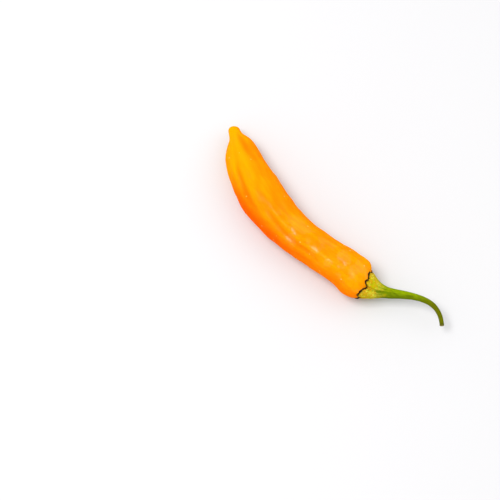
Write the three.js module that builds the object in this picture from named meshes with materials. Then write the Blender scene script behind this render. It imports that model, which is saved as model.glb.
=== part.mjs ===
// Aji amarillo: one ripe chilli pepper as picked, lying on a table.
// Millimetres, +Z up. The tip points to -X, the stem to +X, and the table is z = 0.
// Two pieces: the orange pod, and the green calyx, which has grown into the stem.
//
// A station is the distance from the tip along the pepper's middle line, seen from above.
// An angle goes round the middle line in degrees: 0 is up and 90 is towards -Y.
// Knots are [station, value] pairs that a smooth curve passes through.
import * as THREE from "three";

const { clamp, degToRad, lerp, smoothstep } = THREE.MathUtils;

// Driving dimensions of the middle line
const POD_LENGTH = 126.2;
const STEM_END = 176.5;
const HEADING = [
  [0, -50], [5, -28], [14, -31.5], [24, -30], [34, -22], [46, -15.5], [60, -8], [74, 1], [88, 7],
  [100, 9], [112, 5.5], [120, 0.5], [127, 15], [133, 30], [141, 35], [151, 30], [159, 17], [166, -8],
  [171, -28], [176, -44],
];
const HEIGHT = [
  [0, 8.0], [20, 9.9], [40, 11.8], [60, 12.3], [80, 12.5], [96, 12.3], [106, 11.9], [114, 11.3],
  [120, 10.6], [125, 10.1], [130, 9.8], [136, 9.8], [144, 10.4], [154, 11.2], [164, 11.2], [176, 9.4],
];
const LINE_STEP = 0.25;
const CLIMB_PROBE = 0.05;

// Driving dimensions of the pod
const POD_RADIUS = [
  [0, 3.3], [3.5, 3.6], [7, 4.6], [12, 7.5], [19, 9.8], [28, 11.5], [38, 12.4], [50, 13.3], [64, 12.1],
  [78, 11.4], [90, 10.7], [102, 11.2], [112, 11.6], [125, 12.7],
];
const TIP_ROUND = 2.6;
const TIP_POWER = 2.4;
const SHOULDER_ROUND = 11.5;
const SHOULDER_POWER = 2.3;
const SHOULDER_LEAN = 0.12;
const LEAN_START = 98;
const REST_BLEND = 0.35;
const SEARCH_STEPS = 30;

// Furrows run the length of the pod. Depth is a share of the radius, and width is in degrees.
const FURROWS = [
  {
    width: 9.5,
    angle: [[0, 30], [11, 27], [20, 27], [30, 31], [36, 36], [42, 41], [54, 44], [62, 52], [72, 62]],
    depth: [
      [0, 0], [6, 0.015], [14, 0.025], [24, 0.035], [32, 0.075], [44, 0.095], [52, 0.07], [60, 0.02],
      [68, 0], [125, 0],
    ],
  },
  {
    width: 9.5,
    angle: [[50, 18], [57, 21], [66, 28], [74, 33], [82, 37], [90, 37], [98, 44], [110, 50]],
    depth: [
      [0, 0], [50, 0], [56, 0.025], [64, 0.075], [84, 0.085], [92, 0.07], [100, 0.03], [108, 0],
      [125, 0],
    ],
  },
  {
    width: 16,
    angle: [
      [0, -6], [13, -10], [23, -20], [31, -27], [42, -25], [53, -22], [63, -14], [75, -8], [84, -7],
      [95, 1], [105, 9], [125, 18],
    ],
    depth: [
      [0, 0], [5, 0.02], [12, 0.075], [22, 0.075], [32, 0.04], [42, 0.02], [54, 0.045], [64, 0.04],
      [74, 0.02], [86, 0.025], [95, 0.05], [101, 0.025], [108, 0.04], [116, 0.015], [125, 0.02],
    ],
  },
  {
    width: 17,
    angle: [[0, -95], [40, -100], [80, -84], [125, -78]],
    depth: [[0, 0], [5, 0.03], [12, 0.06], [30, 0.07], [70, 0.05], [125, 0.05]],
  },
  {
    width: 18,
    angle: [[0, -165], [40, -172], [80, -168], [125, -170]],
    depth: [[0, 0], [5, 0.03], [14, 0.06], [60, 0.05], [100, 0.06], [125, 0.05]],
  },
  {
    width: 16,
    angle: [[0, 110], [40, 112], [80, 118], [125, 105]],
    depth: [[0, 0], [5, 0.02], [14, 0.05], [60, 0.06], [100, 0.05], [125, 0.05]],
  },
];

// Low waves in the skin: height in mm, waves along the pod, waves round it, and phase
const SKIN_WAVES = [
  { height: 0.16, along: 5, round: 2, phase: 0.4 },
  { height: 0.12, along: 8, round: -1, phase: 2.1 },
  { height: 0.07, along: 13, round: 3, phase: 4.0 },
];
const WAVE_START = 14;

// Driving dimensions of the calyx and the stem
const CALYX_GAP = 0.4;
const CALYX_EDGE = 0.7;
const STEM_START = 137;
const STEM_RADIUS = [
  [122, 8.6], [126, 7.5], [130, 5.8], [133, 4.4], [136, 3.4], [141, 2.75], [149, 2.1], [156, 1.7],
  [162, 1.5], [168, 1.3], [174, 1.2], [176, 1.25],
];
const RIM_REACH = [
  [-180, 7.6], [-152, 9.2], [-128, 7.7], [-100, 8.8], [-66, 7.4], [-31, 9.5], [-12, 8.6], [5, 9.3],
  [11, 7.4], [16, 5.3], [23, 5.7], [34, 8.2], [58, 9.3], [84, 7.5], [110, 8.5], [136, 7.3], [160, 8.7],
  [180, 7.6],
];
const RIM_MEAN = 8.0;
// The overhang of the rim draws in along the flare by this power.
const OVERHANG_POWER = 3;
// The calyx teeth run on as low ridges, by a share of the radius. FLARE_SWAY is in mm.
const RIDGE_SHARE = [[122, 0], [126, 0.2], [132, 0.3], [140, 0.3], [160, 0.2], [176, 0.12]];
const FLARE_SWAY = [[120, 0], [126, 1.5], [130, 1.2], [134, 0.6], [139, 0]];
const CUT_ROUND = 0.5;
const CUT_HOLLOW = 0.25;

// How finely the solids are divided
const POD_SIDES = 72;
const TIP_RINGS = 6;
const BODY_RINGS = 44;
const SHOULDER_RINGS = 8;
const CALYX_SIDES = 60;
const UNDERSIDE_RINGS = 4;
const FLARE_RINGS = 8;
const STEM_RINGS = 16;

// Colour and gloss of each piece
const POD_FINISH = { color: 0xff9d08, roughness: 0.32, metalness: 0 };
const GREEN_FINISH = { color: 0x9aa51a, roughness: 0.6, metalness: 0 };

// Smooth curve through knots, held level past its ends
function through(knots, x) {
  const last = knots.length - 1;
  const at = clamp(x, knots[0][0], knots[last][0]);
  let i = 0;
  while (i < last - 1 && at >= knots[i + 1][0]) {
    i += 1;
  }
  const slope = (k) => {
    const before = knots[Math.max(k - 1, 0)];
    const after = knots[Math.min(k + 1, last)];
    return (after[1] - before[1]) / (after[0] - before[0]);
  };
  const span = knots[i + 1][0] - knots[i][0];
  const t = (at - knots[i][0]) / span;
  const rest = 1 - t;
  return knots[i][1] * (1 + 2 * t) * rest * rest + slope(i) * span * t * rest * rest
    + knots[i + 1][1] * t * t * (3 - 2 * t) - slope(i + 1) * span * t * t * rest;
}

// Middle line seen from above, walked in small steps along its heading
function walkMiddleLine() {
  const points = [new THREE.Vector2(0, 0)];
  for (let s = 0; s < STEM_END; s += LINE_STEP) {
    const heading = degToRad(through(HEADING, s + LINE_STEP / 2));
    const last = points[points.length - 1];
    points.push(new THREE.Vector2(
      last.x + Math.cos(heading) * LINE_STEP,
      last.y + Math.sin(heading) * LINE_STEP,
    ));
  }
  return points;
}

const MIDDLE_LINE = walkMiddleLine();

// Place and directions of the middle line at a station
function frameAt(station) {
  const walked = clamp(station, 0, STEM_END) / LINE_STEP;
  const i = Math.min(Math.floor(walked), MIDDLE_LINE.length - 2);
  const plan = MIDDLE_LINE[i].clone().lerp(MIDDLE_LINE[i + 1], walked - i);
  const heading = degToRad(through(HEADING, station));
  const rise = through(HEIGHT, station + CLIMB_PROBE) - through(HEIGHT, station - CLIMB_PROBE);
  const climb = rise / (2 * CLIMB_PROBE);
  const along = new THREE.Vector3(Math.cos(heading), Math.sin(heading), climb).normalize();
  const side = new THREE.Vector3(Math.sin(heading), -Math.cos(heading), 0);
  const up = new THREE.Vector3().crossVectors(side, along);
  return { centre: new THREE.Vector3(plan.x, plan.y, through(HEIGHT, station)), along, side, up };
}

// The shoulder leans: its side towards -Y reaches further along than the other
function leanAt(station) {
  const ramp = smoothstep(station, LEAN_START, POD_LENGTH);
  return SHOULDER_LEAN * ramp * (1 - smoothstep(station, POD_LENGTH, STEM_START));
}

// Point at a distance from the middle line
function pointAt(station, radius, angle) {
  const { centre, along, side, up } = frameAt(station);
  const turn = degToRad(angle);
  const sideways = radius * Math.sin(turn);
  return centre
    .addScaledVector(side, sideways)
    .addScaledVector(up, radius * Math.cos(turn))
    .addScaledVector(along, leanAt(station) * sideways);
}

// Share of the radius left at the rounded tip and the rounded shoulder
function endRounding(station) {
  const fromTip = clamp(station / TIP_ROUND, 0, 1);
  const fromTop = clamp((POD_LENGTH - station) / SHOULDER_ROUND, 0, 1);
  const tip = (1 - (1 - fromTip) ** TIP_POWER) ** (1 / TIP_POWER);
  const top = (1 - (1 - fromTop) ** SHOULDER_POWER) ** (1 / SHOULDER_POWER);
  return tip * top;
}

// Difference of two angles, from -180 to 180
function angleBetween(a, b) {
  return THREE.MathUtils.euclideanModulo(a - b + 180, 360) - 180;
}

// Distance from the middle line to the pod's skin
function podRadius(station, angle) {
  let share = 1;
  for (const furrow of FURROWS) {
    const off = angleBetween(angle, through(furrow.angle, station)) / furrow.width;
    share -= through(furrow.depth, station) * Math.exp(-off * off);
  }
  let waves = 0;
  for (const wave of SKIN_WAVES) {
    const turns = 2 * Math.PI * wave.along * station / POD_LENGTH;
    waves += wave.height * Math.sin(turns + degToRad(wave.round * angle) + wave.phase);
  }
  const skin = through(POD_RADIUS, station) * share + waves * clamp(station / WAVE_START, 0, 1);
  return skin * endRounding(station);
}

// The skin is pressed flat where it touches the table, with a short smooth blend
function pressFlat(point) {
  if (point.z < REST_BLEND) {
    point.z = point.z < -REST_BLEND ? 0 : (point.z + REST_BLEND) ** 2 / (4 * REST_BLEND);
  }
  return point;
}

// Closed surface through rings of points, with a pole at each end
function closedSurface(startPole, rings, endPole) {
  const sides = rings[0].length;
  const points = [startPole, ...rings.flat(), endPole];
  const end = points.length - 1;
  const faces = [];
  const vertex = (ring, side) => 1 + ring * sides + (side % sides);
  for (let side = 0; side < sides; side += 1) {
    faces.push(0, vertex(0, side + 1), vertex(0, side));
    for (let ring = 0; ring < rings.length - 1; ring += 1) {
      const a = vertex(ring, side);
      const b = vertex(ring, side + 1);
      const c = vertex(ring + 1, side + 1);
      const d = vertex(ring + 1, side);
      faces.push(a, b, c, a, c, d);
    }
    faces.push(vertex(rings.length - 1, side), vertex(rings.length - 1, side + 1), end);
  }
  const geometry = new THREE.BufferGeometry().setFromPoints(points);
  geometry.setIndex(faces);
  geometry.computeVertexNormals();
  return geometry;
}

// Ring of points round the middle line, from a place for each angle
function ringOf(sides, place) {
  const ring = [];
  for (let i = 0; i < sides; i += 1) {
    ring.push(place((360 * i) / sides - 180));
  }
  return ring;
}

// Stations of the pod's rings, closer together where the tip and the shoulder turn in
function podStations() {
  const stations = [];
  for (let i = 1; i <= TIP_RINGS; i += 1) {
    stations.push(TIP_ROUND * (1 - Math.cos((Math.PI / 2) * (i / TIP_RINGS))));
  }
  const shoulder = POD_LENGTH - SHOULDER_ROUND;
  for (let i = 1; i <= BODY_RINGS; i += 1) {
    stations.push(lerp(TIP_ROUND, shoulder, i / BODY_RINGS));
  }
  for (let i = 1; i < SHOULDER_RINGS; i += 1) {
    stations.push(shoulder + SHOULDER_ROUND * Math.sin((Math.PI / 2) * (i / SHOULDER_RINGS)));
  }
  return stations;
}

// Orange pod, blunt at the tip and round at the shoulder
function makePod() {
  const rings = podStations().map((station) => ringOf(
    POD_SIDES,
    (angle) => pressFlat(pointAt(station, podRadius(station, angle), angle)),
  ));
  return closedSurface(pointAt(0, 0, 0), rings, pointAt(POD_LENGTH, 0, 0));
}

// Station at which the pod's shoulder has come in to a given radius
function shoulderStation(radius, angle) {
  let near = POD_LENGTH - SHOULDER_ROUND;
  let far = POD_LENGTH;
  for (let i = 0; i < SEARCH_STEPS; i += 1) {
    const middle = (near + far) / 2;
    if (podRadius(middle, angle) > radius) {
      near = middle;
    } else {
      far = middle;
    }
  }
  return near;
}

// Stem radius with the low ridges that run up from the calyx teeth. The flare sways towards +Y.
function stemRadius(station, angle) {
  const tooth = (through(RIM_REACH, angle) - RIM_MEAN) / RIM_MEAN;
  const round = through(STEM_RADIUS, station) * (1 + through(RIDGE_SHARE, station) * tooth);
  return round - through(FLARE_SWAY, station) * Math.sin(degToRad(angle));
}

// Outer face of the calyx, from its toothed rim (0) to the start of the stem (1)
function flarePoint(share, angle) {
  const reach = through(RIM_REACH, angle);
  const rim = shoulderStation(reach, angle) + CALYX_GAP + CALYX_EDGE;
  const station = lerp(rim, STEM_START, share);
  const overhang = (reach - stemRadius(rim, angle)) * (1 - share) ** OVERHANG_POWER;
  return pointAt(station, stemRadius(station, angle) + overhang, angle);
}

// Rings of the calyx's underside, which follows the shoulder out to the rim
function undersideRings() {
  const rings = [];
  for (let i = 1; i <= UNDERSIDE_RINGS; i += 1) {
    rings.push(ringOf(CALYX_SIDES, (angle) => {
      const radius = through(RIM_REACH, angle) * (i / UNDERSIDE_RINGS);
      return pointAt(shoulderStation(radius, angle) + CALYX_GAP, radius, angle);
    }));
  }
  return rings;
}

// Rings of the calyx's outer face
function flareRings() {
  const rings = [];
  for (let i = 0; i < FLARE_RINGS; i += 1) {
    rings.push(ringOf(CALYX_SIDES, (angle) => flarePoint(i / FLARE_RINGS, angle)));
  }
  return rings;
}

// Rings of the stem, ending in the rounded edge of the cut
function stemRings() {
  const rings = [];
  const cut = STEM_END - CUT_ROUND;
  for (let i = 0; i <= STEM_RINGS; i += 1) {
    const station = lerp(STEM_START, cut, i / STEM_RINGS);
    rings.push(ringOf(CALYX_SIDES, (angle) => pointAt(station, stemRadius(station, angle), angle)));
  }
  rings.push(ringOf(CALYX_SIDES, (angle) => pointAt(STEM_END, stemRadius(cut, angle) - CUT_ROUND, angle)));
  return rings;
}

// Green calyx and stem, grown as one piece
function makeCalyxAndStem() {
  const base = pointAt(POD_LENGTH + CALYX_GAP, 0, 0);
  const cutCentre = pointAt(STEM_END - CUT_HOLLOW, 0, 0);
  return closedSurface(base, [...undersideRings(), ...flareRings(), ...stemRings()], cutCentre);
}

// Named mesh with its own finish
function mesh(name, geometry, finish) {
  const made = new THREE.Mesh(geometry, new THREE.MeshStandardMaterial(finish));
  made.name = name;
  return made;
}

// The whole pepper, with the middle of its footprint at the origin
function makePepper() {
  const pepper = new THREE.Group();
  pepper.add(mesh("pod", makePod(), POD_FINISH));
  pepper.add(mesh("calyx_and_stem", makeCalyxAndStem(), GREEN_FINISH));
  const centre = new THREE.Box3().setFromObject(pepper, true).getCenter(new THREE.Vector3());
  for (const piece of pepper.children) {
    piece.position.set(-centre.x, -centre.y, 0);
  }
  return pepper;
}

export default makePepper();
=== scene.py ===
import math

import bpy
import numpy as np
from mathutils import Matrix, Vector, noise


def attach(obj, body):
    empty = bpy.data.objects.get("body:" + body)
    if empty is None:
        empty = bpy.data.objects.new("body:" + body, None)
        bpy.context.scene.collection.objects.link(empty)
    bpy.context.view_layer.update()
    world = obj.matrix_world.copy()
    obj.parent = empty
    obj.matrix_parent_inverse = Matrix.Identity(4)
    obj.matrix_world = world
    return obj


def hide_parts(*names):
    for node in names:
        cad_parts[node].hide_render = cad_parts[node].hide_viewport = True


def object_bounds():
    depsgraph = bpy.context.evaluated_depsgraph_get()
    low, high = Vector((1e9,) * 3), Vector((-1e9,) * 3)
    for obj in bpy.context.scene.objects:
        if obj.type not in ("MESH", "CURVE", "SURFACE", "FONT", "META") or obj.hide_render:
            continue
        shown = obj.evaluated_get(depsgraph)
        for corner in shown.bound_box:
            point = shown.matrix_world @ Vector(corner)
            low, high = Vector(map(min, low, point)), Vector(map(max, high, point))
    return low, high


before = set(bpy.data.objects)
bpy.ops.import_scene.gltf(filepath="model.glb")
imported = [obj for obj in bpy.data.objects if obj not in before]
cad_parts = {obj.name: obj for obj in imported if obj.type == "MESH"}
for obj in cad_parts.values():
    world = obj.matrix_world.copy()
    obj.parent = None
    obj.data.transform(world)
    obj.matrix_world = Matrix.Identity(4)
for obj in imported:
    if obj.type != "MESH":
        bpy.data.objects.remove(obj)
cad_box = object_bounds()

# Aji amarillo: one ripe chilli pepper as picked, lying on a pale table.
# Shapes are worked out in millimetres, and the mesh maker turns them into metres.
# A station is the distance from the tip along the middle line, seen from above.
# An angle goes round the middle line in degrees: 0 is up and 90 is towards -Y.
# Knots are (station, value) pairs that a smooth curve passes through.
MM = 0.001

# Middle line
POD_LENGTH = 126.2
STEM_END = 176.5
HEADING = [
    (0, -50), (5, -28), (14, -31.5), (24, -30), (34, -22), (46, -15.5), (60, -8), (74, 1), (88, 7),
    (100, 9), (112, 5.5), (120, 0.5), (127, 15), (133, 30), (141, 35), (151, 30), (159, 17), (166, -8),
    (171, -28), (176, -44),
]
HEIGHT = [
    (0, 8.0), (20, 9.9), (40, 11.8), (60, 12.3), (80, 12.5), (96, 12.3), (106, 11.9), (114, 11.3),
    (120, 10.6), (125, 10.1), (130, 9.8), (136, 9.8), (144, 10.4), (154, 11.2), (164, 11.2), (176, 9.4),
]
LINE_STEP = 0.25
CLIMB_PROBE = 0.05

# Pod
POD_RADIUS = [
    (0, 3.3), (3.5, 3.6), (7, 4.6), (12, 7.5), (19, 9.8), (28, 11.5), (38, 12.4), (50, 13.3), (64, 12.1),
    (78, 11.4), (90, 10.7), (102, 11.2), (112, 11.6), (125, 12.7),
]
TIP_ROUND = 2.6
TIP_POWER = 2.4
SHOULDER_ROUND = 11.5
SHOULDER_POWER = 2.3
SHOULDER_LEAN = 0.12
LEAN_START = 98
REST_BLEND = 0.35
SEARCH_STEPS = 30

# Furrows: width in degrees, angle and depth along the pod. Depth is a share of the radius.
FURROWS = [
    (9.5, [(0, 30), (11, 27), (20, 27), (30, 31), (36, 36), (42, 41), (54, 44), (62, 52), (72, 62)],
     [(0, 0), (6, 0.015), (14, 0.025), (24, 0.035), (32, 0.075), (44, 0.095), (52, 0.07), (60, 0.02),
      (68, 0), (125, 0)]),
    (9.5, [(50, 18), (57, 21), (66, 28), (74, 33), (82, 37), (90, 37), (98, 44), (110, 50)],
     [(0, 0), (50, 0), (56, 0.025), (64, 0.075), (84, 0.085), (92, 0.07), (100, 0.03), (108, 0),
      (125, 0)]),
    (16, [(0, -6), (13, -10), (23, -20), (31, -27), (42, -25), (53, -22), (63, -14), (75, -8), (84, -7),
      (95, 1), (105, 9), (125, 18)],
     [(0, 0), (5, 0.02), (12, 0.075), (22, 0.075), (32, 0.04), (42, 0.02), (54, 0.045), (64, 0.04),
      (74, 0.02), (86, 0.025), (95, 0.05), (101, 0.025), (108, 0.04), (116, 0.015), (125, 0.02)]),
    (17, [(0, -95), (40, -100), (80, -84), (125, -78)],
     [(0, 0), (5, 0.03), (12, 0.06), (30, 0.07), (70, 0.05), (125, 0.05)]),
    (18, [(0, -165), (40, -172), (80, -168), (125, -170)],
     [(0, 0), (5, 0.03), (14, 0.06), (60, 0.05), (100, 0.06), (125, 0.05)]),
    (16, [(0, 110), (40, 112), (80, 118), (125, 105)],
     [(0, 0), (5, 0.02), (14, 0.05), (60, 0.06), (100, 0.05), (125, 0.05)]),
]

# Low waves in the skin: height in mm, waves along the pod, waves round it, phase
SKIN_WAVES = [(0.16, 5, 2, 0.4), (0.12, 8, -1, 2.1), (0.07, 13, 3, 4.0)]
WAVE_START = 14
# Small dents in the skin: height in mm and distance between them
SKIN_DENTS = [(0.3, 8.5), (0.08, 3.2)]
# The dents fade out where the pod's radius is under this
DENT_FADE = 4
# Creases under the calyx: height in mm, count, reach in mm, sideways wander and its phase in degrees
PUCKER_HEIGHT = 0.12
PUCKERS = 17
PUCKER_REACH = 3.5
PUCKER_WANDER = 12
PUCKER_PHASE = 40
# For the skin's colour: a full furrow's share of the radius, and the angle where the near flank's painted
# shade starts
FULL_FURROW = 0.1
FLANK_START = 12

# Calyx and stem
CALYX_GAP = 0.03
CALYX_EDGE = 0.7
STEM_START = 137
STEM_RADIUS = [
    (122, 8.6), (126, 7.5), (130, 5.8), (133, 4.4), (136, 3.4), (141, 2.75), (149, 2.1), (156, 1.7),
    (162, 1.5), (168, 1.3), (174, 1.2), (176, 1.25),
]
RIM_REACH = [
    (-180, 7.6), (-152, 9.2), (-128, 7.7), (-100, 8.8), (-66, 7.4), (-31, 9.5), (-12, 8.6), (5, 9.3),
    (11, 7.4), (16, 5.3), (23, 5.7), (34, 8.2), (58, 9.3), (84, 7.5), (110, 8.5), (136, 7.3), (160, 8.7),
    (180, 7.6),
]
RIM_MEAN = 8.0
# Fine tears in the rim: size in mm and distance between them
RIM_TEARS = [(0.7, 2.2), (0.4, 1.1)]
# The overhang of the rim draws in along the flare by this power
OVERHANG_POWER = 3
RIDGE_SHARE = [(122, 0), (126, 0.2), (132, 0.3), (140, 0.3), (160, 0.2), (176, 0.12)]
FLARE_SWAY = [(120, 0), (126, 1.5), (130, 1.2), (134, 0.6), (139, 0)]
RIB_COUNT = 23
RIB_WANDER = 5
RIB_TWIST_LENGTH = 9
RIB_HEIGHT = [(124, 0), (127, 0.07), (134, 0.06), (145, 0.035), (175, 0.02)]
GREEN_DENTS = [(0.07, 2.6), (0.03, 1.1)]
CUT_ROUND = 0.5
CUT_HOLLOW = 0.3
# Rings inside the hollow of the cut: share of its radius and share of its depth
HOLLOW_RINGS = [(0.8, 0.3), (0.55, 0.7), (0.3, 0.95)]
# What the green's colour takes as a ridge: weight of a rib's height, and reach in mm of a full tooth
RIB_WEIGHT = 8
TOOTH_FULL = 1.5
# The distance from the rim is followed up to this
RIM_FAR = 20

# Dark line along the calyx rim: partly its dried edge, partly painted shade under it
DRY_OUT = 0.12
DRY_UP = 0.15
DRY_THICKNESS = 0.37
DRY_THINNEST = 0.16
DRY_TURNS = 900
DRY_SIDES = 8
DRY_JAGS = [(0.34, 2.6), (0.16, 0.9), (0.1, 0.45)]
DRY_JAG_SHIFT = 40

# Fineness of the meshes
POD_SIDES = 208
TIP_RINGS = 14
BODY_RINGS = 256
SHOULDER_RINGS = 40
GREEN_SIDES = 144
UNDERSIDE_RINGS = 8
EDGE_RINGS = 4
EDGE_BULGE = 0.8
FLARE_RINGS = 56
FLARE_CROWDING = 1.3
STEM_RINGS = 130
CUT_RINGS = 4

# The photograph's view: one pixel is about 0.56 mm where the pepper lies
PIXEL_MM = 0.5575
CAMERA_AZIMUTH = 43.3
CAMERA_ELEVATION = 72.0
CAMERA_DISTANCE = 900.0
PICTURE_PIXELS = 500
SENSOR_MM = 36.0
CLIP_START = 0.01
CLIP_END = 20
AIM = (58.257, -48.6, 11.6)

# Table and light. Lengths are in metres. A lamp has its direction, distance, size and power in watts.
TABLE_HALF = 4.0
KEY_LIGHT = ((-0.26, -0.25, 0.93), 1.2, 0.52, 9.3)
FILL_LIGHT = ((0.5, 0.7, 0.8), 1.4, 0.8, 1.5)
ROOM_WHITE = (0.97, 0.985, 1.0)
ROOM_STRENGTH = 1.0


def through(knots, x):
    """Smooth curve through knots, held level past its ends."""
    xs = np.array([k[0] for k in knots], float)
    ys = np.array([k[1] for k in knots], float)
    slope = np.empty_like(ys)
    slope[1:-1] = (ys[2:] - ys[:-2]) / (xs[2:] - xs[:-2])
    slope[0] = (ys[1] - ys[0]) / (xs[1] - xs[0])
    slope[-1] = (ys[-1] - ys[-2]) / (xs[-1] - xs[-2])
    at = np.clip(x, xs[0], xs[-1])
    i = np.clip(np.searchsorted(xs, at, side="right") - 1, 0, len(xs) - 2)
    span = xs[i + 1] - xs[i]
    t = (at - xs[i]) / span
    rest = 1 - t
    return (ys[i] * (1 + 2 * t) * rest**2 + slope[i] * span * t * rest**2
            + ys[i + 1] * t**2 * (3 - 2 * t) - slope[i + 1] * span * t**2 * rest)


def smooth_ramp(x, low, high):
    t = np.clip((x - low) / (high - low), 0, 1)
    return t * t * (3 - 2 * t)


def walk_middle_line():
    """Stations and places of the middle line, seen from above."""
    stations = np.arange(0, STEM_END + LINE_STEP / 2, LINE_STEP)
    heading = np.radians(through(HEADING, stations[:-1] + LINE_STEP / 2))
    x = np.concatenate([[0], np.cumsum(np.cos(heading)) * LINE_STEP])
    y = np.concatenate([[0], np.cumsum(np.sin(heading)) * LINE_STEP])
    return stations, x, y


LINE = walk_middle_line()


def lean_at(station):
    """Share by which the shoulder's side towards -Y reaches further along."""
    ramp = smooth_ramp(station, LEAN_START, POD_LENGTH)
    return SHOULDER_LEAN * ramp * (1 - smooth_ramp(station, POD_LENGTH, STEM_START))


def point_at(station, radius, angle):
    """Points at a distance from the middle line."""
    given = [np.asarray(value, float) for value in (station, radius, angle)]
    station, radius, angle = np.broadcast_arrays(*given)
    x = np.interp(station, LINE[0], LINE[1])
    y = np.interp(station, LINE[0], LINE[2])
    centre = np.stack([x, y, through(HEIGHT, station)], -1)
    heading = np.radians(through(HEADING, station))
    rise = through(HEIGHT, station + CLIMB_PROBE) - through(HEIGHT, station - CLIMB_PROBE)
    climb = rise / (2 * CLIMB_PROBE)
    along = np.stack([np.cos(heading), np.sin(heading), climb], -1)
    along /= np.linalg.norm(along, axis=-1, keepdims=True)
    side = np.stack([np.sin(heading), -np.cos(heading), 0 * heading], -1)
    up = np.cross(side, along)
    turn = np.radians(angle)
    sideways = (radius * np.sin(turn))[..., None]
    upwards = (radius * np.cos(turn))[..., None]
    return centre + side * sideways + up * upwards + along * lean_at(station)[..., None] * sideways


def end_rounding(station):
    """Share of the radius left at the rounded tip and shoulder."""
    from_tip = np.clip(station / TIP_ROUND, 0, 1)
    from_top = np.clip((POD_LENGTH - station) / SHOULDER_ROUND, 0, 1)
    tip = (1 - (1 - from_tip) ** TIP_POWER) ** (1 / TIP_POWER)
    top = (1 - (1 - from_top) ** SHOULDER_POWER) ** (1 / SHOULDER_POWER)
    return tip * top


def furrow_share(station, angle):
    """Depth of the furrows as a share of the radius."""
    total = 0
    for width, angles, depths in FURROWS:
        off = (angle - through(angles, station) + 180) % 360 - 180
        total = total + through(depths, station) * np.exp(-((off / width) ** 2))
    return total


def pod_radius(station, angle):
    waves = 0
    for height, along, around, phase in SKIN_WAVES:
        turns = 2 * math.pi * along * station / POD_LENGTH
        waves = waves + height * np.sin(turns + np.radians(around * angle) + phase)
    skin = through(POD_RADIUS, station) * (1 - furrow_share(station, angle))
    return (skin + waves * np.clip(station / WAVE_START, 0, 1)) * end_rounding(station)


def shoulder_station(radius, angle):
    """Station at which the pod's shoulder has come in to a radius."""
    near = np.full(np.shape(radius), POD_LENGTH - SHOULDER_ROUND)
    far = np.full(np.shape(radius), POD_LENGTH)
    for _ in range(SEARCH_STEPS):
        middle = (near + far) / 2
        wider = pod_radius(middle, angle) > radius
        near = np.where(wider, middle, near)
        far = np.where(wider, far, middle)
    return near


def press_flat(points):
    """The skin is flat where it touches the table, with a short smooth blend."""
    z = points[..., 2]
    blend = (z + REST_BLEND) ** 2 / (4 * REST_BLEND)
    points[..., 2] = np.where(z > REST_BLEND, z, np.where(z < -REST_BLEND, 0, blend))
    return points


def dents(points, layers):
    """Smooth random heights in mm at points in mm, the same on each run."""
    flat = points.reshape(-1, 3)
    height = np.zeros(len(flat))
    for amount, spacing in layers:
        offset = Vector((spacing, 2 * spacing, 3 * spacing))
        height += amount * np.array([noise.noise(Vector(p) / spacing + offset) for p in flat])
    return height.reshape(points.shape[:-1])


def angles_of(sides):
    return 360 * np.arange(sides) / sides - 180


def new_piece(name, points, faces):
    """Smooth object from points in millimetres."""
    mesh = bpy.data.meshes.new(name)
    mesh.from_pydata((points * MM).tolist(), [], faces)
    mesh.polygons.foreach_set("use_smooth", [True] * len(mesh.polygons))
    mesh.update()
    piece = bpy.data.objects.new(name, mesh)
    bpy.context.collection.objects.link(piece)
    return piece


def closed_piece(name, start, rings, end, facts):
    """Closed object through rings of points with a pole at each end.

    facts holds a value per ring point for each attribute, and the poles take their ring's mean."""
    count, sides = rings.shape[:2]
    points = np.concatenate([[start], rings.reshape(-1, 3), [end]])
    ring = np.arange(count - 1)[:, None]
    side = np.arange(sides)[None, :]
    a = 1 + ring * sides + side
    b = 1 + ring * sides + (side + 1) % sides
    quads = np.stack([a, b, b + sides, a + sides], -1).reshape(-1, 4).tolist()
    first = [[0, 1 + (i + 1) % sides, 1 + i] for i in range(sides)]
    base = 1 + (count - 1) * sides
    last = [[base + i, base + (i + 1) % sides, len(points) - 1] for i in range(sides)]
    piece = new_piece(name, points, first + quads + last)
    for fact, values in facts.items():
        layer = piece.data.attributes.new(fact, "FLOAT", "POINT")
        full = np.concatenate([[values[0].mean()], values.ravel(), [values[-1].mean()]])
        layer.data.foreach_set("value", full.astype(np.float32))
    return piece


def pod_stations():
    """Stations of the pod's rings, closer together where the ends turn in."""
    shoulder = POD_LENGTH - SHOULDER_ROUND
    quarter = math.pi / 2
    tip = TIP_ROUND * (1 - np.cos(quarter * np.arange(1, TIP_RINGS + 1) / TIP_RINGS))
    body = TIP_ROUND + (shoulder - TIP_ROUND) * np.arange(1, BODY_RINGS + 1) / BODY_RINGS
    top = shoulder + SHOULDER_ROUND * np.sin(quarter * np.arange(1, SHOULDER_RINGS) / SHOULDER_RINGS)
    return np.concatenate([tip, body, top])


def puckers(station, radius, angle):
    """Fine creases in the shoulder that gather under the calyx."""
    beyond = np.clip(radius - through(RIM_REACH, angle), 0, None)
    near = (station > POD_LENGTH - SHOULDER_ROUND) * np.exp(-beyond / PUCKER_REACH)
    wander = PUCKER_WANDER * np.sin(np.radians(3 * angle + PUCKER_PHASE))
    return PUCKER_HEIGHT * near * np.sin(np.radians(PUCKERS * (angle + wander)))


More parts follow.
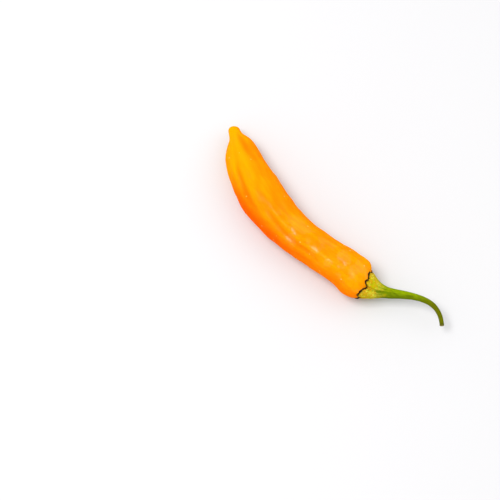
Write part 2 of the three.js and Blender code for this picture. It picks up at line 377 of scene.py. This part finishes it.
def make_pod():
    station, angle = np.meshgrid(pod_stations(), angles_of(POD_SIDES), indexing="ij")
    radius = pod_radius(station, angle)
    skin = point_at(station, radius, angle)
    relief = dents(skin, SKIN_DENTS) + puckers(station, radius, angle)
    fade = np.clip(radius / DENT_FADE, 0, 1)
    points = press_flat(point_at(station, radius + relief * fade, angle))
    facts = {
        "station": station / POD_LENGTH,
        "furrow": furrow_share(station, angle) / FULL_FURROW,
        "flank": np.clip(np.sin(np.radians(angle - FLANK_START)), 0, 1),
        "side": np.sin(np.radians(angle)),
        "across": radius * np.cos(np.radians(angle)),
        "around": radius * np.sin(np.radians(angle)),
    }
    return closed_piece("pepper_pod", point_at(0, 0, 0), points, point_at(POD_LENGTH, 0, 0), facts)


def stem_radius(station, angle):
    """Stem radius with low ridges that run up from the calyx teeth. The flare sways towards +Y."""
    tooth = (through(RIM_REACH, angle) - RIM_MEAN) / RIM_MEAN
    round_radius = through(STEM_RADIUS, station) * (1 + through(RIDGE_SHARE, station) * tooth)
    return round_radius - through(FLARE_SWAY, station) * np.sin(np.radians(angle))


def rib_height(station, angle):
    """Fine ribs between the ridges."""
    wander = RIB_WANDER * np.sin(np.radians(2 * angle) + station / RIB_TWIST_LENGTH)
    return through(RIB_HEIGHT, station) * np.cos(np.radians(RIB_COUNT * (angle + wander)))


def torn_reach(angle):
    """Reach of the calyx rim with its fine tears."""
    turn = np.radians(angle)
    circle = RIM_MEAN * np.stack([np.cos(turn), np.sin(turn), 0 * turn], -1)
    return through(RIM_REACH, angle) + dents(circle, RIM_TEARS)


def underside_rings(angle):
    """Underside of the calyx, which lies on the shoulder out to the rim."""
    share = np.arange(1, UNDERSIDE_RINGS + 1)[:, None] / UNDERSIDE_RINGS
    radius = share * torn_reach(angle)[None, :]
    around = np.broadcast_to(angle, radius.shape)
    return shoulder_station(radius, around) + CALYX_GAP, radius, around


def flare_rings(angle):
    """Outer face of the calyx, from its rim to the start of the stem."""
    share = (np.arange(FLARE_RINGS)[:, None] / FLARE_RINGS) ** FLARE_CROWDING
    around = np.broadcast_to(angle, (FLARE_RINGS, len(angle)))
    reach = np.broadcast_to(torn_reach(angle), around.shape)
    rim = shoulder_station(reach, around) + CALYX_GAP + CALYX_EDGE
    station = rim + (STEM_START - rim) * share
    overhang = (reach - stem_radius(rim, around)) * (1 - share) ** OVERHANG_POWER
    return station, stem_radius(station, around) + overhang, around


def edge_rings(below, above):
    """Rounded edge of the rim, between the underside and the outer face."""
    turn = math.pi * np.arange(1, EDGE_RINGS + 1)[:, None] / (EDGE_RINGS + 1)
    middle = (below[0][-1] + above[0][0]) / 2
    half = (above[0][0] - below[0][-1]) / 2
    station = middle - half * np.cos(turn)
    radius = below[1][-1] + half * EDGE_BULGE * np.sin(turn)
    return station, radius, np.broadcast_to(above[2][0], station.shape)


def stem_rings(angle):
    """The stem, up to where the edge of its cut begins to turn in."""
    share = np.arange(STEM_RINGS + 1)[:, None] / STEM_RINGS
    along = STEM_START + (STEM_END - CUT_ROUND - STEM_START) * share
    station = np.broadcast_to(along, (STEM_RINGS + 1, len(angle)))
    around = np.broadcast_to(angle, station.shape)
    return station, stem_radius(station, around), around


def cut_rings(angle, stem):
    """Rounded edge of the cut and the hollow inside it."""
    turn = math.pi / 2 * np.arange(1, CUT_RINGS + 1)[:, None] / CUT_RINGS
    edge_radius = stem[1][-1] - CUT_ROUND * (1 - np.cos(turn))
    edge_station = STEM_END - CUT_ROUND + CUT_ROUND * np.sin(turn)
    inner_share, depth_share = np.array(HOLLOW_RINGS).T[:, :, None]
    radius = np.concatenate([edge_radius, edge_radius[-1] * inner_share])
    station = np.concatenate([edge_station, STEM_END - CUT_HOLLOW * depth_share])
    return np.broadcast_to(station, radius.shape), radius, np.broadcast_to(angle, radius.shape)


def make_calyx_and_stem():
    angle = angles_of(GREEN_SIDES)
    below = underside_rings(angle)
    above = flare_rings(angle)
    stem = stem_rings(angle)
    parts = [below, edge_rings(below, above), above, stem, cut_rings(angle, stem)]
    station, radius, around = (np.concatenate([part[k] for part in parts]) for k in range(3))
    outside = np.zeros(station.shape)
    outside[UNDERSIDE_RINGS + EDGE_RINGS:-CUT_RINGS - len(HOLLOW_RINGS)] = 1
    ribs = rib_height(station, around)
    relief = ribs + dents(point_at(station, radius, around), GREEN_DENTS)
    points = point_at(station, radius + relief * outside, around)
    facts = {
        "station": (station - POD_LENGTH) / (STEM_END - POD_LENGTH),
        "from_rim": np.clip(station - below[0][-1], 0, RIM_FAR),
        "ridge": ribs * RIB_WEIGHT + (through(RIM_REACH, around) - RIM_MEAN) / TOOTH_FULL,
        "side": np.sin(np.radians(around)),
    }
    base = point_at(POD_LENGTH + CALYX_GAP, 0, 0)
    end = point_at(STEM_END - CUT_HOLLOW, 0, 0)
    return closed_piece("pepper_calyx_stem", base, points, end, facts)


def dry_rim_and_shade_points():
    """Rings of points round the dark line, partly dried edge and partly painted shade, which is of uneven
    thickness.
    """
    angle = angles_of(DRY_TURNS)
    reach = torn_reach(angle) + DRY_OUT
    station = shoulder_station(reach, angle) + CALYX_GAP + DRY_UP
    middle = point_at(station, reach, angle)
    along = np.roll(middle, -1, 0) - np.roll(middle, 1, 0)
    along /= np.linalg.norm(along, axis=1, keepdims=True)
    outward = middle - point_at(station, 0, angle)
    outward -= along * (outward * along).sum(1, keepdims=True)
    outward /= np.linalg.norm(outward, axis=1, keepdims=True)
    across = np.cross(along, outward)
    thick = np.clip(DRY_THICKNESS + dents(middle, DRY_JAGS), DRY_THINNEST, None)
    turn = 2 * math.pi * np.arange(DRY_SIDES) / DRY_SIDES
    ring = outward[:, None] * np.cos(turn)[:, None] + across[:, None] * np.sin(turn)[:, None]
    points = middle[:, None] + ring * thick[:, None, None]
    return points + outward[:, None] * dents(points + DRY_JAG_SHIFT, DRY_JAGS[1:])[..., None]


def make_dry_rim_and_shade():
    """Thin dark line along the teeth, as a closed ring: partly the dried edge, partly painted shade under
    the rim.
    """
    here = np.arange(DRY_TURNS)[:, None] * DRY_SIDES
    ahead = np.roll(here, -1, 0)
    side = np.arange(DRY_SIDES)[None, :]
    beside = np.roll(side, -1, 1)
    faces = np.stack([here + side, ahead + side, ahead + beside, here + beside], -1)
    return new_piece("dry_rim_and_shade", dry_rim_and_shade_points().reshape(-1, 3), faces.reshape(-1, 4).tolist())


def move_to_frame(pieces):
    """Moves the fine meshes from the tip's frame to the part's, whose origin is under its middle."""
    low = np.min([[min(v.co[k] for v in p.data.vertices) for k in range(2)] for p in pieces], axis=0)
    high = np.max([[max(v.co[k] for v in p.data.vertices) for k in range(2)] for p in pieces], axis=0)
    middle = (cad_box[0] + cad_box[1]) / 2
    shift = Vector((middle.x - (low[0] + high[0]) / 2, middle.y - (low[1] + high[1]) / 2, 0))
    for piece in pieces:
        for vertex in piece.data.vertices:
            vertex.co += shift
    return shift


class Nodes:
    """Short way to build one material's nodes."""

    def __init__(self, name):
        self.material = bpy.data.materials.new(name)
        self.material.use_nodes = True
        self.tree = self.material.node_tree
        self.shader = self.tree.nodes["Principled BSDF"]

    def add(self, kind, inputs=None, **settings):
        node = self.tree.nodes.new(kind)
        for key, value in settings.items():
            setattr(node, key, value)
        for key, value in (inputs or {}).items():
            self.put(value, node.inputs[key])
        return node

    def put(self, value, socket):
        if isinstance(value, bpy.types.NodeSocket):
            self.tree.links.new(value, socket)
        else:
            socket.default_value = value

    def fact(self, name):
        return self.add("ShaderNodeAttribute", attribute_name=name).outputs["Fac"]

    def place(self):
        return self.add("ShaderNodeTexCoord").outputs["Object"]

    def mapped(self, **inputs):
        return self.add("ShaderNodeMapping", {"Vector": self.place(), **inputs}).outputs["Vector"]

    def noise(self, scale, detail, rough, where=None):
        inputs = {"Vector": where or self.place(), "Scale": scale, "Detail": detail, "Roughness": rough}
        return self.add("ShaderNodeTexNoise", inputs).outputs["Fac"]

    def ramp(self, value, low, high, to_low=0.0, to_high=1.0):
        ends = {"From Min": low, "From Max": high, "To Min": to_low, "To Max": to_high}
        node = self.add("ShaderNodeMapRange", {"Value": value, **ends}, interpolation_type="SMOOTHSTEP")
        return node.outputs["Result"]

    def math(self, operation, a, b):
        return self.add("ShaderNodeMath", {0: a, 1: b}, operation=operation).outputs[0]

    def product(self, first, *others):
        for other in others:
            first = self.math("MULTIPLY", first, other)
        return first

    def mix(self, share, a, b):
        node = self.add("ShaderNodeMix", data_type="RGBA")
        self.put(share, node.inputs[0])
        for value, socket in ((a, node.inputs[6]), (b, node.inputs[7])):
            self.put(value if isinstance(value, bpy.types.NodeSocket) else (*value, 1), socket)
        return node.outputs[2]

    def bump(self, height, distance, strength, under=None):
        inputs = {"Height": height, "Distance": distance, "Strength": strength}
        if under:
            inputs["Normal"] = under
        return self.add("ShaderNodeBump", inputs).outputs["Normal"]

    def bumps(self, layers, normal=None):
        for noise_kind, distance, strength in layers:
            normal = self.bump(self.noise(*noise_kind), distance, strength, normal)
        return normal

    def set(self, **values):
        for key, value in values.items():
            self.put(value, self.shader.inputs[key.replace("_", " ")])


# Colours, in linear light
ORANGE = (0.88, 0.207, 0.0003)
GOLD = (0.9, 0.325, 0.0003)
# DEEP_ORANGE deepens the middle, and is painted shade in the furrows and on the far flank.
DEEP_ORANGE = (0.86, 0.155, 0.0002)
# RED_ORANGE is the near flank's painted shade, partly also its own redder colour.
RED_ORANGE = (0.84, 0.08, 0.0002)
# Pale of the tiny specks, partly pores and partly painted glints.
SPECK_AND_GLINT_PALE = (0.95, 0.48, 0.12)
CALYX_YELLOW = (0.50, 0.43, 0.001)
CALYX_PALE = (0.66, 0.59, 0.05)
CALYX_ORANGE = (0.62, 0.24, 0.004)
STEM_GREEN = (0.2, 0.285, 0.001)
STEM_PALE = (0.24, 0.31, 0.001)
STEM_DARK = (0.085, 0.115, 0.001)
STEM_OLIVE = (0.108, 0.116, 0.0008)
STEM_BROWN = (0.055, 0.045, 0.004)
FRECKLE_BROWN = (0.13, 0.05, 0.004)
CUT_TAN = (0.20, 0.17, 0.045)
# The brown-black of the rim is partly its dried edge and partly painted shade under it.
DRY_AND_SHADE_BROWN = (0.010, 0.0035, 0.0015)
DRY_PALE = (0.05, 0.017, 0.005)
TABLE_GREY = (0.621, 0.611, 0.614)
TABLE_WHITE = (0.647, 0.637, 0.639)

# Noises: waves in a metre, detail and roughness
SKIN_CLOUDS = (75, 4, 0.55)
WAX_PATCHES = (130, 2, 0.5)
GREEN_CLOUDS = (260, 4, 0.6)
GREEN_STREAKS = (700, 3, 0.6)
GREEN_STRETCH = (0.35, 1.0, 1.0)
GREEN_DOTS = (1300, 2, 0.5)
FRECKLES = (1100, 2, 0.7)
GRAINS = (1500, 3, 0.7)
GRAIN_SHIFT = (3.0, 7.0, 1.0)
DRY_CLOUDS = (1500, 3, 0.6)
DRY_GLOSS = (800, 3, 0.5)
TABLE_CLOUDS = (3, 3, 0.5)
# The skin's streaks have waves in a millimetre, and they are drawn out along the pod, because their
# noise takes it to be only this many millimetres long.
SKIN_STREAKS = (0.42, 4, 0.6)
STREAK_POD_LENGTH = 22.0
# Cells in a metre. A tiny pale speck, partly a pore and partly a painted glint, shows where the skin
# comes close to a cell's point.
SPECK_AND_GLINT_CELLS = 190.0

# Bumps: a noise, its height in metres and its strength. The green's streaks bring their own noise.
SKIN_BUMPS = [((300, 3, 0.5), 0.0002, 0.5), ((2600, 2, 0.6), 0.00003, 0.3)]
STREAK_BUMP = (0.0002, 0.5)
GREEN_BUMPS = [((1900, 3, 0.6), 0.00008, 0.5)]
DRY_BUMPS = [((2500, 3, 0.6), 0.0001, 0.6)]

# Ramps: the two ends of what is measured, and then the two values they give, which are 0 and 1
# where they aren't named. A station here goes from 0 to 1 along the pod, and in the green from the
# pod's end to the cut.
STREAK_GOLD = (0.3, 0.7, 0.1, 0.75)
CLOUD_ORANGE = (0.5, 0.72, 0.0, 0.35)
TIP_GOLD = (0.16, 0.0, 0.0, 0.9)
SHOULDER_GOLD = (0.8, 1.0, 0.0, 0.35)
# Painted light: a lighter gold band between the flanks near the tip.
LIT_BAND_FAR_EDGE = (-0.3, 0.05)
LIT_BAND_NEAR_EDGE = (0.95, 0.6, 0.2)
LIT_BAND_END = (0.4, 0.25, 0.0, 0.6)
MIDDLE_START = (0.34, 0.44)
MIDDLE_END = (0.6, 0.5, 0.0, 0.2)
# Painted shade: deeper orange in the furrows.
FURROW_SHADE = (0.1, 1.0, 0.0, 0.82)
# Painted shade on both flanks; on the near flank it is partly also its own redder colour.
FLANK_UNEVEN = (0.3, 0.7, -0.06, 0.06)
NEAR_FLANK_SHADE = (0.38, 0.88, 0.0, 0.9)
NEAR_SHADE_START = (0.18, 0.36)
NEAR_SHADE_FADE = (0.5, 0.8, 1.0, 0.55)
FAR_FLANK_SHADE = (0.3, 0.9, 0.0, 0.4)
FAR_SHADE_END = (0.95, 0.7, 0.1, 1.0)
# Tiny pale specks, partly pores and partly painted glints.
SPECK_AND_GLINT_EDGE = (0.1, 0.05, 0.0, 0.8)
WAX_EDGE = (0.44, 0.56)
WAX_START = (0.42, 0.6, 0.1, 1.0)
WAX_FAR_EDGE = (-0.7, -0.2)
WAX_NEAR_EDGE = (0.9, 0.6)
WAX_WEIGHT = (0.0, 1.0, 0.03, 0.36)
SKIN_ROUGHNESS = (0.3, 0.7, 0.36, 0.46)
STREAK_DARK = (0.4, 0.65, 0.0, 0.6)
RIDGE_PALE = (0.2, 1.2, 0.0, 0.6)
DOT_DARK = (0.62, 0.7, 0.0, 0.6)
# Painted shade on the stem's side towards -Y, partly also its own darker colour.
SHADE_UNEVEN = (0.3, 0.7, -0.15, 0.15)
SHADE_DARK = (-0.1, 0.75, 0.0, 0.7)
OLIVE_START = (0.5, 0.78, 0.0, 0.95)
CLOUD_PALE = (0.4, 0.62)
MORE_AT_RIM = (5.0, 0.8, 0.0, 0.07)
FRECKLE_ORANGE = (0.5, 0.58, 0.0, 0.85)
GRAIN_GREEN = (0.53, 0.59, 0.0, 0.85)
GRAIN_BROWN = (0.42, 0.36, 0.0, 0.7)
BLEND_UNEVEN = (0.3, 0.7, -0.05, 0.05)
BLEND_RIDGE = (-1.0, 1.0, 0.04, -0.04)
YELLOW_TO_GREEN = (0.06, 0.22)
DARK_UNEVEN = (0.3, 0.7, -0.5, 0.5)
# The calyx's dark rim is partly its dried edge and partly painted shade.
DARK_RIM_AND_SHADE = (1.15, 0.45)
BROWN_END = (0.955, 0.99, 0.0, 0.6)
CUT_FACE = (0.992, 0.998)
GREEN_ROUGHNESS = (0.3, 0.7, 0.45, 0.62)
DRY_CLOUD_PALE = (0.4, 0.7)
DRY_ROUGHNESS = (0.3, 0.7, 0.6, 0.8)


def skin_base(n, station, clouds):
    """Orange and gold streaks, more golden on both ends, with painted light as a gold band between the
    flanks near the tip.
    """
    side = n.fact("side")
    grain = n.add("ShaderNodeCombineXYZ", {
        "X": n.fact("across"), "Y": n.fact("around"), "Z": n.product(station, STREAK_POD_LENGTH),
    }).outputs["Vector"]
    colour = n.mix(n.ramp(n.noise(*SKIN_STREAKS, grain), *STREAK_GOLD), ORANGE, GOLD)
    colour = n.mix(n.ramp(clouds, *CLOUD_ORANGE), colour, ORANGE)
    ends = n.math("ADD", n.ramp(station, *TIP_GOLD), n.ramp(station, *SHOULDER_GOLD))
    colour = n.mix(ends, colour, GOLD)
    # Painted light: a lighter gold band between the flanks near the tip.
    band = n.product(n.ramp(side, *LIT_BAND_FAR_EDGE), n.ramp(side, *LIT_BAND_NEAR_EDGE))
    return n.mix(n.product(band, n.ramp(station, *LIT_BAND_END)), colour, GOLD)


def skin_colour(n, station, clouds):
    """The base, deeper at the middle, with painted shade in the furrows and on both flanks, where the
    near flank is partly also redder of its own, and tiny pale specks that are partly painted glints.
    """
    colour = skin_base(n, station, clouds)
    middle = n.product(n.ramp(station, *MIDDLE_START), n.ramp(station, *MIDDLE_END))
    colour = n.mix(middle, colour, DEEP_ORANGE)
    # Painted shade: the furrows turn deeper orange.
    colour = n.mix(n.ramp(n.fact("furrow"), *FURROW_SHADE), colour, DEEP_ORANGE)
    # Painted shade, partly also the near flank's own redder colour: the flank towards -Y turns
    # red-orange.
    uneven = n.ramp(clouds, *FLANK_UNEVEN)
    near = n.ramp(n.math("ADD", n.fact("flank"), uneven), *NEAR_FLANK_SHADE)
    near = n.product(near, n.ramp(station, *NEAR_SHADE_START), n.ramp(station, *NEAR_SHADE_FADE))
    colour = n.mix(near, colour, RED_ORANGE)
    # Painted shade: the far flank towards +Y turns deeper orange.
    far = n.ramp(n.math("SUBTRACT", uneven, n.fact("side")), *FAR_FLANK_SHADE)
    colour = n.mix(n.product(far, n.ramp(station, *FAR_SHADE_END)), colour, DEEP_ORANGE)
    # Tiny pale specks, partly pores and partly painted glints.
    specks = n.add("ShaderNodeTexVoronoi", {"Vector": n.place(), "Scale": SPECK_AND_GLINT_CELLS})
    return n.mix(n.ramp(specks.outputs["Distance"], *SPECK_AND_GLINT_EDGE), colour, SPECK_AND_GLINT_PALE)


def skin_wax(n, station):
    """Weight of the waxy coat, which shines in patches between the flanks, above and below."""
    side = n.fact("side")
    patches = n.product(n.ramp(n.noise(*WAX_PATCHES), *WAX_EDGE), n.ramp(station, *WAX_START))
    band = n.product(n.ramp(side, *WAX_FAR_EDGE), n.ramp(side, *WAX_NEAR_EDGE))
    return n.ramp(n.product(patches, band), *WAX_WEIGHT)


def skin_material():
    """Waxy yellow-orange skin."""
    n = Nodes("pod_skin")
    station = n.fact("station")
    clouds = n.noise(*SKIN_CLOUDS)
    n.set(Base_Color=skin_colour(n, station, clouds), Normal=n.bumps(SKIN_BUMPS))
    n.set(Roughness=n.ramp(clouds, *SKIN_ROUGHNESS), Specular_IOR_Level=0.0)
    n.set(Coat_Weight=skin_wax(n, station), Coat_Roughness=0.2)
    n.set(Subsurface_Weight=0.3, Subsurface_Radius=(1.0, 0.28, 0.04), Subsurface_Scale=0.003)
    return n.material


def stem_colour(n, station, streaks):
    """Green with pale ridges and dark streaks and dots, with painted shade on the side towards -Y that is
    partly also its own darker colour, olive further up.
    """
    colour = n.mix(n.ramp(streaks, *STREAK_DARK), STEM_GREEN, STEM_DARK)
    colour = n.mix(n.ramp(n.fact("ridge"), *RIDGE_PALE), colour, STEM_PALE)
    colour = n.mix(n.ramp(n.noise(*GREEN_DOTS), *DOT_DARK), colour, STEM_DARK)
    # Painted shade, partly also the stem's own darker side: the green darkens towards -Y.
    shaded = n.math("ADD", n.fact("side"), n.ramp(streaks, *SHADE_UNEVEN))
    colour = n.mix(n.ramp(shaded, *SHADE_DARK), colour, STEM_DARK)
    return n.mix(n.ramp(station, *OLIVE_START), colour, STEM_OLIVE)


def calyx_colour(n, from_rim, clouds, freckles):
    """Yellow with orange freckles, which are denser towards the rim, and green and brown grains."""
    grains = n.noise(*GRAINS, n.mapped(Location=GRAIN_SHIFT))
    colour = n.mix(n.ramp(clouds, *CLOUD_PALE), CALYX_YELLOW, CALYX_PALE)
    towards_rim = n.math("ADD", freckles, n.ramp(from_rim, *MORE_AT_RIM))
    colour = n.mix(n.ramp(towards_rim, *FRECKLE_ORANGE), colour, CALYX_ORANGE)
    colour = n.mix(n.ramp(grains, *GRAIN_GREEN), colour, STEM_GREEN)
    return n.mix(n.ramp(grains, *GRAIN_BROWN), colour, FRECKLE_BROWN)


def green_colour(n, clouds, streaks):
    """Yellow calyx that turns into the green stem, with a dark rim that is partly dried and partly
    painted shade, and a brown end round the tan cut.
    """
    station = n.fact("station")
    from_rim = n.fact("from_rim")
    freckles = n.noise(*FRECKLES)
    blend = n.math("ADD", station, n.ramp(clouds, *BLEND_UNEVEN))
    blend = n.math("ADD", blend, n.ramp(n.fact("ridge"), *BLEND_RIDGE))
    yellow = calyx_colour(n, from_rim, clouds, freckles)
    colour = n.mix(n.ramp(blend, *YELLOW_TO_GREEN), yellow, stem_colour(n, station, streaks))
    # Partly dried edge and partly painted shade: the calyx turns brown-black close to its rim, on both
    # faces.
    dark = n.math("ADD", from_rim, n.ramp(freckles, *DARK_UNEVEN))
    colour = n.mix(n.ramp(dark, *DARK_RIM_AND_SHADE), colour, DRY_AND_SHADE_BROWN)
    colour = n.mix(n.ramp(station, *BROWN_END), colour, STEM_BROWN)
    return n.mix(n.ramp(station, *CUT_FACE), colour, CUT_TAN)


def green_material():
    """Satin green stem that turns yellow, then freckled, towards the calyx rim."""
    n = Nodes("green_stem")
    clouds = n.noise(*GREEN_CLOUDS)
    streaks = n.noise(*GREEN_STREAKS, n.mapped(Scale=GREEN_STRETCH))
    normal = n.bumps(GREEN_BUMPS, n.bump(streaks, *STREAK_BUMP))
    n.set(Base_Color=green_colour(n, clouds, streaks), Normal=normal)
    n.set(Roughness=n.ramp(clouds, *GREEN_ROUGHNESS), Specular_IOR_Level=0.0)
    n.set(Coat_Weight=0.03, Coat_Roughness=0.3)
    n.set(Subsurface_Weight=0.15, Subsurface_Radius=(0.6, 1.0, 0.1), Subsurface_Scale=0.001)
    return n.material


def dry_and_shade_material():
    """Brown-black edge, partly dried and partly painted shade under the rim."""
    n = Nodes("dry_and_shaded_edge")
    colour = n.mix(n.ramp(n.noise(*DRY_CLOUDS), *DRY_CLOUD_PALE), DRY_AND_SHADE_BROWN, DRY_PALE)
    n.set(Base_Color=colour, Normal=n.bumps(DRY_BUMPS))
    n.set(Roughness=n.ramp(n.noise(*DRY_GLOSS), *DRY_ROUGHNESS), Specular_IOR_Level=0.1)
    return n.material


def table_material():
    n = Nodes("table_white")
    n.set(Base_Color=n.mix(n.noise(*TABLE_CLOUDS), TABLE_GREY, TABLE_WHITE))
    n.set(Roughness=0.9, Specular_IOR_Level=0.1)
    return n.material


def make_floor():
    """Plain white table top."""
    half = TABLE_HALF
    corners = [(-half, -half, 0), (half, -half, 0), (half, half, 0), (-half, half, 0)]
    mesh = bpy.data.meshes.new("table")
    mesh.from_pydata(corners, [], [(0, 1, 2, 3)])
    table = bpy.data.objects.new("table", mesh)
    bpy.context.collection.objects.link(table)
    table.data.materials.append(table_material())


def make_light(name, towards, distance, size, power):
    """Square area light that shines on the pepper from a direction."""
    data = bpy.data.lights.new(name, "AREA")
    data.shape = "SQUARE"
    data.size = size
    data.energy = power
    light = bpy.data.objects.new(name, data)
    direction = Vector(towards).normalized()
    light.location = direction * distance
    light.rotation_mode = "QUATERNION"
    light.rotation_quaternion = direction.to_track_quat("Z", "Y")
    bpy.context.collection.objects.link(light)


def make_world():
    world = bpy.data.worlds.new("pale_room")
    bpy.context.scene.world = world
    world.use_nodes = True
    background = world.node_tree.nodes["Background"]
    background.inputs["Color"].default_value = (*ROOM_WHITE, 1)
    background.inputs["Strength"].default_value = ROOM_STRENGTH


def make_camera(shift):
    """Camera at the photograph's angle, aimed so that the pepper has its place in the picture."""
    data = bpy.data.cameras.new("camera")
    camera = bpy.data.objects.new("camera", data)
    azimuth = math.radians(CAMERA_AZIMUTH)
    elevation = math.radians(CAMERA_ELEVATION)
    back = Vector((
        math.sin(azimuth) * math.cos(elevation),
        -math.cos(azimuth) * math.cos(elevation),
        math.sin(elevation),
    ))
    camera.location = Vector(AIM) * MM + shift + back * CAMERA_DISTANCE * MM
    camera.rotation_mode = "QUATERNION"
    camera.rotation_quaternion = back.to_track_quat("Z", "Y")
    data.sensor_width = SENSOR_MM
    data.lens = SENSOR_MM * CAMERA_DISTANCE / (PICTURE_PIXELS * PIXEL_MM)
    data.clip_start = CLIP_START
    data.clip_end = CLIP_END
    bpy.context.collection.objects.link(camera)
    bpy.context.scene.camera = camera


def dress(piece, material, slot, *nodes):
    """Gives a piece its finish, attaches it to the body that it moves with and hides the solids that it
    stands for.
    """
    piece.data.materials.append(material)
    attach(piece, "root")
    if nodes:
        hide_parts(*nodes)


pod = make_pod()
green = make_calyx_and_stem()
dry_rim_and_shade = make_dry_rim_and_shade()
frame_shift = move_to_frame([pod, green, dry_rim_and_shade])
dress(pod, skin_material(), "pod_skin", "pod")
dress(green, green_material(), "green_stem", "calyx_and_stem")
dress(dry_rim_and_shade, dry_and_shade_material(), "green_stem")

make_camera(frame_shift)
make_floor()
make_world()
make_light("key", *KEY_LIGHT)
make_light("fill", *FILL_LIGHT)
bpy.context.scene.view_settings.view_transform = "Standard"
